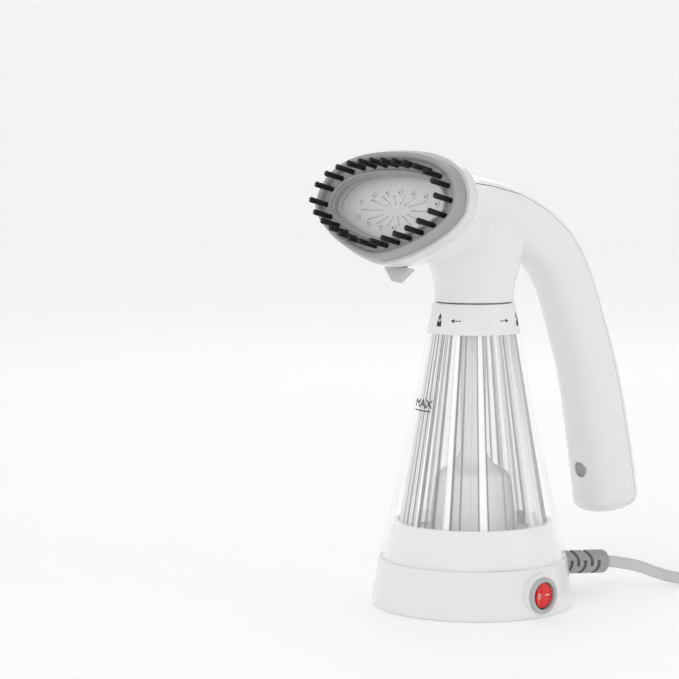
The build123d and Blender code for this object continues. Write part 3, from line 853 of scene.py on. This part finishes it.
class STEAMER_OT_cord(bpy.types.Operator):
    """Lay the mains cord: out of the strain relief, along the floor and into its tied coil."""

    bl_idname = "steamer.cord"
    bl_label = "Cord"

    def execute(self, context):
        diameter = settings().cord_diameter
        lead = [
            (98.09, -26.28, 20.36), (119.31, -31.97, 17.21), (140.5, -41.2, 7.2), (157.0, -53.0, 4.0),
            (171.0, -67.5, 4.0), (184.0, -82.0, 4.0),
        ]
        points = [Vector(p) * MM for p in lead] + self.coil_turns()
        tail = ((26, 42.0, 21.5), (52, 41.5, 27.2), (76, 41.5, 30.2))
        for turn, radius, height in tail:
            points.append(self.at(120 + turn, radius, height))
        curve = bpy.data.curves.new("mains_cord", "CURVE")
        curve.dimensions = "3D"
        curve.bevel_depth = diameter / 2
        curve.bevel_resolution = 6
        curve.resolution_u = 6
        spline = curve.splines.new("NURBS")
        spline.points.add(len(points) - 1)
        for point, place in zip(spline.points, points):
            point.co = (*place, 1.0)
        spline.order_u = 3
        spline.use_endpoint_u = True
        cord = bpy.data.objects.new("mains_cord", curve)
        context.scene.collection.objects.link(cord)
        dress(cord, FINISHES["cord_grey"])
        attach(cord, "base")
        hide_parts("power_cord", "cord_coil", "cord_tail")
        self.length(points)
        return {"FINISHED"}

    def at(self, turn, radius, height):
        angle = math.radians(turn)
        return COIL_CENTRE + Vector((radius * math.cos(angle), radius * math.sin(angle), height)) * MM

    def coil_turns(self):
        """Turns side by side and then on top, each easing over to the next one's place."""
        places = [(50, 4.0), (42, 4.0), (34, 4.0), (38, 11.0), (46, 11.0), (42, 18.2), (42, 18.2)]
        first, last, step, ease, tie = 219, 120 + 360 * 6, 24, 0.3, 60
        points = []
        turn = first
        while turn <= last - 12:
            whole, part = divmod((turn - first + 5) / 360, 1.0)
            share = max(0.0, (part - (1 - ease)) / ease)
            share = share * share * (3 - 2 * share)
            here, after = places[int(whole)], places[min(int(whole) + 1, len(places) - 1)]
            radius = here[0] + (after[0] - here[0]) * share
            height = here[1] + (after[1] - here[1]) * share
            off = (turn - tie + 180) % 360 - 180
            height += 1.1 * math.exp(-((off / 16) ** 2))
            points.append(self.at(turn, radius, height))
            turn += step
        return points

    def length(self, points):
        return round(sum((b - a).length for a, b in zip(points, points[1:])), 3)


# ------------------------------------------------------------------ tank

FLUTES = 48
SLEEVE_FOOT = (48.6 * MM, 56.0 * MM)
SLEEVE_TOP = (27.7 * MM, 179.0 * MM)


class STEAMER_OT_tank(bpy.types.Operator):
    """Make the tank's ribbed inner sleeve."""

    bl_idname = "steamer.tank"
    bl_label = "Tank"

    def execute(self, context):
        thickness = 1.6 * MM
        (foot_r, foot_z), (top_r, top_z) = SLEEVE_FOOT, SLEEVE_TOP
        levels = 14
        wall = [(foot_r + (top_r - foot_r) * i / levels, foot_z + (top_z - foot_z) * i / levels)
                for i in range(levels + 1)]
        profile = wall + [(r - thickness, z) for r, z in reversed(wall)]
        lip_r, lip_z = foot_r - 0.4 * MM, 48.4 * MM
        profile += [(foot_r - thickness, lip_z), (lip_r, lip_z), (lip_r, 55.6 * MM)]
        cone = lathe("tank_sleeve", profile, FLUTES * 8)
        sleeve = self.flutes().grow(cone)
        sharp(sleeve, 30)
        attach(sleeve, "base")
        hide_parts("tank_fluted_sleeve")
        return {"FINISHED"}

    def flutes(self):
        """Draws every wall point in towards the axis where it lies between two ribs."""
        tree = Tree("flutes")
        count = tree.size("Flutes", FLUTES, "Int")
        depth = tree.size("Depth", settings().flute_depth)
        place = tree.node("GeometryNodeInputPosition")[0]
        x, y, _ = tree.node("ShaderNodeSeparateXYZ", i0=place)
        turn = tree.maths("ARCTAN2", y, x)
        wave = tree.maths("SINE", tree.maths("MULTIPLY", tree.maths("MULTIPLY", turn, count), 0.5))
        rib = tree.maths("POWER", tree.maths("ABSOLUTE", wave), 0.6)
        inward = tree.maths("MULTIPLY", tree.maths("SUBTRACT", rib, 1.0), depth)
        level = tree.node("ShaderNodeCombineXYZ", i0=x, i1=y)[0]
        away = tree.node("ShaderNodeVectorMath", {"operation": "NORMALIZE"}, i0=level)[0]
        shift = tree.node("ShaderNodeVectorMath", {"operation": "SCALE"}, i0=away, Scale=inward)[0]
        moved = tree.node("GeometryNodeSetPosition", i0=tree.start.outputs[0], Offset=shift)[0]
        tree.finish(moved, FINISHES["fluted_tank"])
        return tree


# ------------------------------------------------------------------ brush and nozzle


def vent_spot(number, reach):
    """A place on the ring of steam vents, evenly spaced along it; reach 1 is the ring itself."""
    a, b = VENT_OVAL
    steps = 720
    turns = [2 * math.pi * i / steps for i in range(steps + 1)]
    spots = np.array([(a * math.cos(t), b * math.sin(t)) for t in turns])
    lengths = np.concatenate([[0.0], np.cumsum(np.linalg.norm(np.diff(spots, axis=0), axis=1))])
    turn = float(np.interp(number / VENTS * lengths[-1], lengths, turns))
    return a * reach * math.cos(turn), b * reach * math.sin(turn)


class STEAMER_OT_brush(bpy.types.Operator):
    """Make the brush: its rounded frame with stepped rims, and the bristle tufts."""

    bl_idname = "steamer.brush"
    bl_label = "Brush"

    def execute(self, context):
        rim = [
            (0.0, -8.6), (0.0, -1.9), (0.25, -1.0), (0.9, -0.35), (1.8, 0.0), (2.8, -0.1), (3.6, -0.55),
            (4.1, -1.3), (4.5, -2.6), (4.7, -3.9), (5.6, -4.0), (10.4, -4.0), (11.0, -3.7), (11.3, -2.9),
            (11.8, -2.2), (12.6, -1.9), (13.3, -2.2), (13.7, -3.0), (13.8, -4.4), (14.3, -4.8), (14.5, -5.4),
            (14.6, -8.6),
        ]
        frame = sweep_ring("brush_rim", [(a * MM, b * MM) for a, b in rim])
        dress(frame, FINISHES["grey_trim"])
        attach(frame, "brush")
        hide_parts("brush_frame")

        place = nozzle_matrix()
        seats = [place @ Vector((x, y, -BRUSH_FLOOR)) for x, y in even_ring(BRISTLE_INSET, TUFTS)]
        spots = new_mesh("bristle_tufts", seats, [])
        tufts = self.tufts().grow(spots)
        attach(tufts, "brush")
        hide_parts("bristles")

        self.dress_plate("vent_rings", self.vent_rings, place, FINISHES["black_plastic"], "black_plastic")
        self.dress_plate("plate_ribs", self.plate_ribs, place, FINISHES["steam_plate"], "steam_plate")
        return {"FINISHED"}

    def dress_plate(self, name, shape, place, material, slot):
        verts, faces = shape()
        detail = new_mesh(name, [place @ Vector(co) for co in verts], faces)
        outward(detail)
        dress(detail, material)
        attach(detail, "head")

    def vent_rings(self):
        """A fine raised ring on the boss around every steam vent."""
        verts, faces = [], []
        profile = ((1.1, -0.1), (1.2, 0.25), (1.6, 0.25), (1.75, -0.1))
        corners = 20
        for i in range(VENTS):
            x, y = vent_spot(i + 0.5, 1.0)
            first = len(verts)
            for j in range(corners):
                turn = 2 * math.pi * j / corners
                along, side = math.cos(turn) * MM, math.sin(turn) * MM
                verts += [(x + r * along, y + r * side, BOSS_TOP + up * MM) for r, up in profile]
            count = len(profile)
            for j in range(corners):
                a, b = first + j * count, first + (j + 1) % corners * count
                for k in range(count):
                    faces.append((a + k, b + k, b + (k + 1) % count, a + (k + 1) % count))
        return verts, faces

    def plate_ribs(self):
        """Low pressed ribs fanning out between the vents."""
        verts, faces = [], []
        for i in range(VENTS):
            inner, outer = Vector(vent_spot(i, 0.34)), Vector(vent_spot(i, 0.86))
            side = (outer - inner).orthogonal().normalized() * 0.75 * MM
            first = len(verts)
            for end in (inner, outer):
                for across, up in ((1, -0.1), (0.25, 0.8), (-0.25, 0.8), (-1, -0.1)):
                    spot = end + side * across
                    verts.append((spot.x, spot.y, PLATE_TOP + up * MM))
            faces += [(first, first + 1, first + 2, first + 3), (first + 7, first + 6, first + 5, first + 4)]
            for k in range(4):
                m = (k + 1) % 4
                faces.append((first + k, first + 4 + k, first + 4 + m, first + m))
        return verts, faces

    def tufts(self):
        """Stands a bundle of filaments on every seat, each filament a little shorter or leaning."""
        tree = Tree("tufts")
        length = tree.size("Length", settings().tuft_length)
        spread = tree.size("Spread", 1.3 * MM)
        thickness = tree.size("Filament", 0.4 * MM)
        outer = tree.node("GeometryNodeMeshCircle", {"fill_type": "NONE"}, Vertices=9, Radius=spread)[0]
        half = tree.maths("MULTIPLY", spread, 0.52)
        inner = tree.node("GeometryNodeMeshCircle", {"fill_type": "NONE"}, Vertices=5, Radius=half)[0]
        middle_one = tree.node("GeometryNodeMeshLine", Count=1)[0]
        joined = tree.group.nodes.new("GeometryNodeJoinGeometry")
        for part in (outer, inner, middle_one):
            tree.group.links.new(part, joined.inputs[0])
        rod = tree.node("GeometryNodeMeshCylinder", {"fill_type": "TRIANGLE_FAN"}, Vertices=6,
                        Side_Segments=2, Radius=thickness, Depth=length)[0]
        lift = tree.node("ShaderNodeCombineXYZ", i2=tree.maths("MULTIPLY", length, 0.5))[0]
        stood = tree.node("GeometryNodeTransform", i0=rod, Translation=lift)[0]
        stretch = tree.node("FunctionNodeRandomValue", {"data_type": "FLOAT_VECTOR"},
                            i0=(1.0, 1.0, 0.95), i1=(1.0, 1.0, 1.0), Seed=3)[0]
        lean = tree.node("FunctionNodeRandomValue", {"data_type": "FLOAT_VECTOR"},
                         i0=(-0.028, -0.028, 0.0), i1=(0.028, 0.028, 1.0), Seed=7)[0]
        bundle = tree.node("GeometryNodeInstanceOnPoints", i0=joined.outputs[0], Instance=stood,
                           Rotation=lean, Scale=stretch)[0]
        turn = nozzle_matrix().to_euler()
        solid = tree.node("GeometryNodeRealizeInstances", i0=bundle)[0]
        placed = tree.node("GeometryNodeInstanceOnPoints", i0=tree.start.outputs[0], Instance=solid,
                           Rotation=tuple(turn))[0]
        tree.finish(placed, FINISHES["bristle_black"])
        return tree


# ------------------------------------------------------------------ head

PARTING_LINE = (
    (-75, 281), (0, 275), (30, 269), (52, 258.5), (72, 243), (88.5, 222), (98, 198), (108, 169),
    (119, 134), (126, 99), (131.5, 72), (138, 36),
)


class STEAMER_OT_head(bpy.types.Operator):
    """Make the head's two shells: horn, neck and grip blended into one skin, then parted."""

    bl_idname = "steamer.head"
    bl_label = "Head"

    def execute(self, context):
        skin = copy_of("head_shell", "handle_outer_cover")
        skin.name = "head_skin"
        modify(skin, "REMESH", mode="VOXEL", voxel_size=settings().skin_detail)
        apply_all(skin)
        relax(skin, lambda places: np.full(len(places), 0.5), 4)
        relax(skin, self.free, 130)
        self.part(skin)
        def outermost(thing):
            return max(v.co.z + v.co.x for v in thing.data.vertices)

        cover, shell = sorted(loose_parts(skin), key=outermost, reverse=True)
        for piece, name, node in (
                (cover, "grip_cover", "handle_outer_cover"), (shell, "grip_shell", "head_shell")):
            piece.name = name
            piece.data.polygons.foreach_set("use_smooth", [True] * len(piece.data.polygons))
            sharp(piece, 40)
            dress(piece, FINISHES["white_shell"])
            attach(piece, "head")
            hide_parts(node)
        return {"FINISHED"}

    def free(self, places):
        """1 where the skin may blend, fading to 0 at its rims, its slot, its screw hole and its foot."""
        def fade(distance, start, end):
            return np.clip((distance - start * MM) / ((end - start) * MM), 0, 1)

        centre = np.array(nozzle_centre())
        depth = (centre - places) @ np.array(NOZZLE_OUT)
        low = (centre - places) @ np.array(NOZZLE_UP)
        hole = middle("grip_screw_plug")
        from_hole = np.linalg.norm(places - np.array(hole), axis=1)
        from_slot = np.maximum(np.abs(places[:, 1]) - 6 * MM, 0) + np.maximum(26 * MM - low, 0)
        weight = fade(depth, 17, 26) * fade(places[:, 2], 203, 214) * fade(from_hole, 8, 14)
        weight = weight * np.maximum(fade(from_slot, 3, 10), fade(depth, 30, 40)) * fade(places[:, 2], 62, 76)
        return weight

    def part(self, skin):
        """Cuts the thin parting groove between the grip's two shells."""
        line = [Vector((x, 0, z)) * MM for x, z in PARTING_LINE]
        half = settings().groove / 2
        sides = []
        for i, here in enumerate(line):
            along = line[min(i + 1, len(line) - 1)] - line[max(i - 1, 0)]
            away = Vector((-along.z, 0, along.x)).normalized() * half
            sides.append((here - away, here + away))
        reach = Vector((0, 80 * MM, 0))
        points = [p + s for pair in sides for p in pair for s in (-reach, reach)]
        faces = [(0, 1, 3, 2)]
        for i in range(len(sides) - 1):
            a, b = 4 * i, 4 * i + 4
            faces += [(a, a + 1, b + 1, b), (a + 2, b + 2, b + 3, a + 3), (a, b, b + 2, a + 2),
                      (a + 1, a + 3, b + 3, b + 1)]
        last = 4 * (len(sides) - 1)
        faces.append((last, last + 2, last + 3, last + 1))
        cutter = outward(new_mesh("groove", points, faces, smooth=False))
        modify(skin, "BOOLEAN", operation="DIFFERENCE", solver="FAST", object=cutter)
        apply_all(skin)
        bpy.data.objects.remove(cutter)


# ------------------------------------------------------------------ printed marks

ROCKER_CENTRE = Vector((0, -65.6, 14.8)) * MM
ROCKER_TURN = math.radians(11)
ROCKER_SLOPE = 1.7 / 8.3


class STEAMER_OT_marks(bpy.types.Operator):
    """Print the fill line, the turning marks on the collar, and the switch's two marks."""

    bl_idname = "steamer.marks"
    bl_label = "Marks"

    def execute(self, context):
        side = math.radians(-58)
        line = flat([(-9.5, -0.35), (9.5, -0.35), (9.5, 0.35), (-9.5, 0.35)])
        for name, work, height in (
                ("fill_letters", lettering("MAX", 20 * MM, 5.2 * MM), 134.2), ("fill_line", line, 129.9)):
            self.place(name, work, on_wall(side, height * MM, TANK_WALL), "base", "ink", "black_plastic")
        for name, turn, shapes in (
                ("locked_mark", -49.7, self.lock(0.0)), ("unlocked_mark", 74.0, self.lock(1.5)),
                ("turn_mark_left", -23.5, self.arrow(-1)), ("turn_mark_right", 43.1, self.arrow(1))):
            self.place(name, flat(*shapes), on_wall(math.radians(turn), 188.4 * MM, COLLAR), "base", "ink",
                       "black_plastic")
        self.place("switch_off_mark", self.zero(), self.on_rocker, "rocker", "paint", "switch_red")
        one = flat([(2.6, -0.3), (6.0, -0.3), (6.0, 0.3), (2.6, 0.3)])
        self.place("switch_on_mark", one, self.on_rocker, "rocker", "paint", "switch_red")
        return {"FINISHED"}

    def place(self, name, work, where, body, finish, slot):
        mark = stamp(name, work, where)
        dress(mark, FINISHES[finish])
        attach(mark, body)

    def zero(self, steps=28):
        """A flat ring for the switch's off side."""
        work = bmesh.new()
        turns = [2 * math.pi * i / steps for i in range(steps)]
        outer, inner = [
            [work.verts.new(((r * math.cos(a) - 4.3) * MM, r * math.sin(a) * MM, 0)) for a in turns]
            for r in (1.75, 1.2)]
        for i in range(steps):
            after = (i + 1) % steps
            work.faces.new((outer[i], outer[after], inner[after], inner[i]))
        return work

    def lock(self, shift):
        """A triangle over a padlock; shift slides its shackle sideways, as when it is open."""
        triangle = [(-1.7, 1.2), (1.7, 1.2), (0, 4.6)]
        body = [(-2.1, -4.0), (2.1, -4.0), (2.1, -0.8), (-2.1, -0.8)]
        return triangle, body, half_ring(shift, -0.5, 1.5, 0.95, 0.35 if not shift else 0.9)

    def arrow(self, way):
        head = [(way * 3.6, 0.0), (way * 1.1, 1.25), (way * 1.1, -1.25)]
        dashes = [[(way * a, -0.3), (way * b, -0.3), (way * b, 0.3), (way * a, 0.3)]
                  for a, b in ((-1.3, 0.6), (-3.6, -2.0))]
        return [head, *dashes]

    def on_rocker(self, across, up, out):
        """Maps flat marks onto the rocker's two sloping faces."""
        rise = (-0.3 * MM) + abs(across) * ROCKER_SLOPE
        local = Vector((across, -(rise + out), up))
        return ROCKER_CENTRE + Matrix.Rotation(ROCKER_TURN, 3, "Z") @ local


# ------------------------------------------------------------------ finishes on the carried parts


class STEAMER_OT_finishes(bpy.types.Operator):
    """Give every carried part the procedural finish of its material slot."""

    bl_idname = "steamer.finishes"
    bl_label = "Finishes"

    def execute(self, context):
        for name, node in NODES.items():
            material = FINISHES[OWN_FINISH.get(name, SLOT_OF[name])]
            for place in node.material_slots:
                place.material = material
            if not node.material_slots:
                node.data.materials.append(material)
        return {"FINISHED"}


class STEAMER_PT_panel(bpy.types.Panel):
    """Lists the steps that make the steamer."""

    bl_label = "Steamer"
    bl_idname = "STEAMER_PT_panel"
    bl_space_type = "VIEW_3D"
    bl_region_type = "UI"
    bl_category = "Steamer"

    def draw(self, context):
        for key in SteamerSettings.__annotations__:
            self.layout.prop(context.scene.steamer, key)
        for step in STEPS:
            self.layout.operator(step.bl_idname)


STEPS = (
    STEAMER_OT_studio, STEAMER_OT_cord, STEAMER_OT_finishes, STEAMER_OT_tank, STEAMER_OT_brush,
    STEAMER_OT_head, STEAMER_OT_marks,
)
CLASSES = (SteamerSettings, *STEPS, STEAMER_PT_panel)


def register():
    for one in CLASSES:
        bpy.utils.register_class(one)
    bpy.types.Scene.steamer = bpy.props.PointerProperty(type=SteamerSettings)


def unregister():
    del bpy.types.Scene.steamer
    for one in reversed(CLASSES):
        bpy.utils.unregister_class(one)


def main():
    register()
    FINISHES.update(make_finishes())
    for step in STEPS:
        group, name = step.bl_idname.split(".")
        getattr(getattr(bpy.ops, group), name)()


if __name__ == "__main__":
    main()
